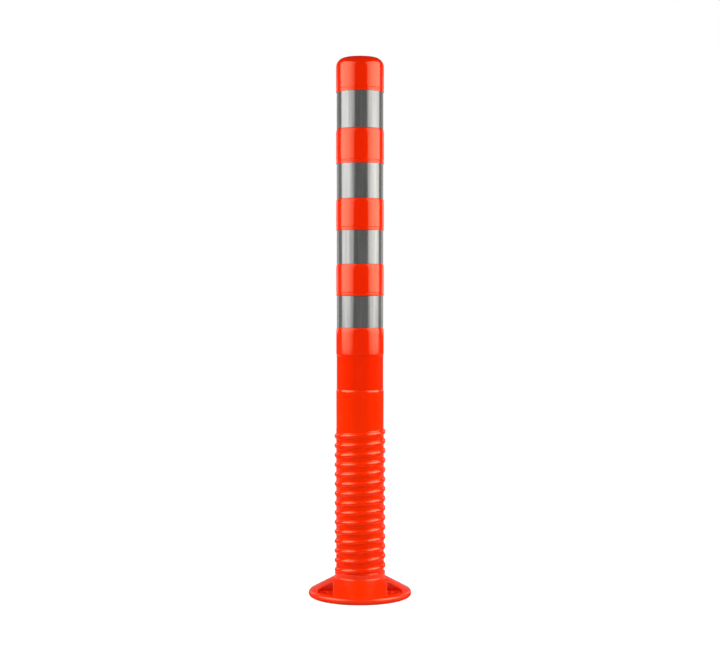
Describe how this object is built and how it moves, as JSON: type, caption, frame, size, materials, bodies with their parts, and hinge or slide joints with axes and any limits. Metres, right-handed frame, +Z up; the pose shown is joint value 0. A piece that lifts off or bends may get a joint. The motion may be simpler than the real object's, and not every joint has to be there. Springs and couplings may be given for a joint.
{
  "type": "flexible delineator post",
  "caption": "Orange flexible road delineator: bolt-down base with open pockets, spiral-ribbed section that bends and springs back, round post with silver reflective bands and a domed cap.",
  "frame": {"origin": "centre of the base's underside, on the ground and on the post's axis", "axes": "+Z up along the post, -Y towards the viewer of the picture, +X to the right"},
  "size_m": [0.175, 0.175, 0.914],
  "materials": {
    "orange_tpu": "gloss",
    "reflective_film": "satin"
  },
  "bodies": {
    "base": {"base_flange": "orange_tpu"},
    "turn_01": {"rib_turn_01": "orange_tpu"},
    "turn_02": {"rib_turn_02": "orange_tpu"},
    "turn_03": {"rib_turn_03": "orange_tpu"},
    "turn_04": {"rib_turn_04": "orange_tpu"},
    "turn_05": {"rib_turn_05": "orange_tpu"},
    "turn_06": {"rib_turn_06": "orange_tpu"},
    "turn_07": {"rib_turn_07": "orange_tpu"},
    "turn_08": {"rib_turn_08": "orange_tpu"},
    "turn_09": {"rib_turn_09": "orange_tpu"},
    "turn_10": {"rib_turn_10": "orange_tpu"},
    "turn_11": {"rib_turn_11": "orange_tpu"},
    "turn_12": {"rib_turn_12": "orange_tpu"},
    "turn_13": {"rib_turn_13": "orange_tpu"},
    "turn_14": {"rib_turn_14": "orange_tpu"},
    "post": {"rib_turn_15": "orange_tpu", "collar": "orange_tpu", "upper_tube": "orange_tpu", "reflective_band_1": "reflective_film", "reflective_band_2": "reflective_film", "reflective_band_3": "reflective_film", "reflective_band_4": "reflective_film", "top_cap": "orange_tpu"}
  },
  "joints": [
    {"name": "bend_sideways_01", "type": "hinge", "parent": "base", "child": "turn_01", "pos_m": [0, 0, 0.04906], "axis": [0, 1, 0], "range_deg": [-9, 9], "stiffness_Nm_per_rad": 250, "deforming": ["rib_turn_01"]},
    {"name": "bend_fore_aft_02", "type": "hinge", "parent": "turn_01", "child": "turn_02", "pos_m": [0, 0, 0.06539], "axis": [1, 0, 0], "range_deg": [-9, 9], "stiffness_Nm_per_rad": 125, "deforming": ["rib_turn_02"]},
    {"name": "bend_sideways_03", "type": "hinge", "parent": "turn_02", "child": "turn_03", "pos_m": [0, 0, 0.08173], "axis": [0, 1, 0], "range_deg": [-9, 9], "stiffness_Nm_per_rad": 250, "deforming": ["rib_turn_03"]},
    {"name": "bend_sideways_04", "type": "hinge", "parent": "turn_03", "child": "turn_04", "pos_m": [0, 0, 0.09806], "axis": [0, 1, 0], "range_deg": [-9, 9], "stiffness_Nm_per_rad": 250, "deforming": ["rib_turn_04"]},
    {"name": "bend_fore_aft_05", "type": "hinge", "parent": "turn_04", "child": "turn_05", "pos_m": [0, 0, 0.11439], "axis": [1, 0, 0], "range_deg": [-9, 9], "stiffness_Nm_per_rad": 125, "deforming": ["rib_turn_05"]},
    {"name": "bend_sideways_06", "type": "hinge", "parent": "turn_05", "child": "turn_06", "pos_m": [0, 0, 0.13071], "axis": [0, 1, 0], "range_deg": [-9, 9], "stiffness_Nm_per_rad": 250, "deforming": ["rib_turn_06"]},
    {"name": "bend_sideways_07", "type": "hinge", "parent": "turn_06", "child": "turn_07", "pos_m": [0, 0, 0.14705], "axis": [0, 1, 0], "range_deg": [-9, 9], "stiffness_Nm_per_rad": 250, "deforming": ["rib_turn_07"]},
    {"name": "bend_fore_aft_08", "type": "hinge", "parent": "turn_07", "child": "turn_08", "pos_m": [0, 0, 0.16337], "axis": [1, 0, 0], "range_deg": [-9, 9], "stiffness_Nm_per_rad": 125, "deforming": ["rib_turn_08"]},
    {"name": "bend_sideways_09", "type": "hinge", "parent": "turn_08", "child": "turn_09", "pos_m": [0, 0, 0.17971], "axis": [0, 1, 0], "range_deg": [-9, 9], "stiffness_Nm_per_rad": 250, "deforming": ["rib_turn_09"]},
    {"name": "bend_sideways_10", "type": "hinge", "parent": "turn_09", "child": "turn_10", "pos_m": [0, 0, 0.19603], "axis": [0, 1, 0], "range_deg": [-9, 9], "stiffness_Nm_per_rad": 250, "deforming": ["rib_turn_10"]},
    {"name": "bend_fore_aft_11", "type": "hinge", "parent": "turn_10", "child": "turn_11", "pos_m": [0, 0, 0.21236], "axis": [1, 0, 0], "range_deg": [-9, 9], "stiffness_Nm_per_rad": 125, "deforming": ["rib_turn_11"]},
    {"name": "bend_sideways_12", "type": "hinge", "parent": "turn_11", "child": "turn_12", "pos_m": [0, 0, 0.2287], "axis": [0, 1, 0], "range_deg": [-9, 9], "stiffness_Nm_per_rad": 250, "deforming": ["rib_turn_12"]},
    {"name": "bend_sideways_13", "type": "hinge", "parent": "turn_12", "child": "turn_13", "pos_m": [0, 0, 0.24502], "axis": [0, 1, 0], "range_deg": [-9, 9], "stiffness_Nm_per_rad": 250, "deforming": ["rib_turn_13"]},
    {"name": "bend_fore_aft_14", "type": "hinge", "parent": "turn_13", "child": "turn_14", "pos_m": [0, 0, 0.26136], "axis": [1, 0, 0], "range_deg": [-9, 9], "stiffness_Nm_per_rad": 125, "deforming": ["rib_turn_14"]},
    {"name": "bend_sideways_15", "type": "hinge", "parent": "turn_14", "child": "post", "pos_m": [0, 0, 0.27769], "axis": [0, 1, 0], "range_deg": [-9, 9], "stiffness_Nm_per_rad": 250, "deforming": ["rib_turn_15"]}
  ],
  "couplings": [
    {"joint": "bend_sideways_03", "follows": "bend_sideways_01", "ratio": 1},
    {"joint": "bend_sideways_04", "follows": "bend_sideways_01", "ratio": 1},
    {"joint": "bend_fore_aft_05", "follows": "bend_fore_aft_02", "ratio": 1},
    {"joint": "bend_sideways_06", "follows": "bend_sideways_01", "ratio": 1},
    {"joint": "bend_sideways_07", "follows": "bend_sideways_01", "ratio": 1},
    {"joint": "bend_fore_aft_08", "follows": "bend_fore_aft_02", "ratio": 1},
    {"joint": "bend_sideways_09", "follows": "bend_sideways_01", "ratio": 1},
    {"joint": "bend_sideways_10", "follows": "bend_sideways_01", "ratio": 1},
    {"joint": "bend_fore_aft_11", "follows": "bend_fore_aft_02", "ratio": 1},
    {"joint": "bend_sideways_12", "follows": "bend_sideways_01", "ratio": 1},
    {"joint": "bend_sideways_13", "follows": "bend_sideways_01", "ratio": 1},
    {"joint": "bend_fore_aft_14", "follows": "bend_fore_aft_02", "ratio": 1},
    {"joint": "bend_sideways_15", "follows": "bend_sideways_01", "ratio": 1}
  ]
}
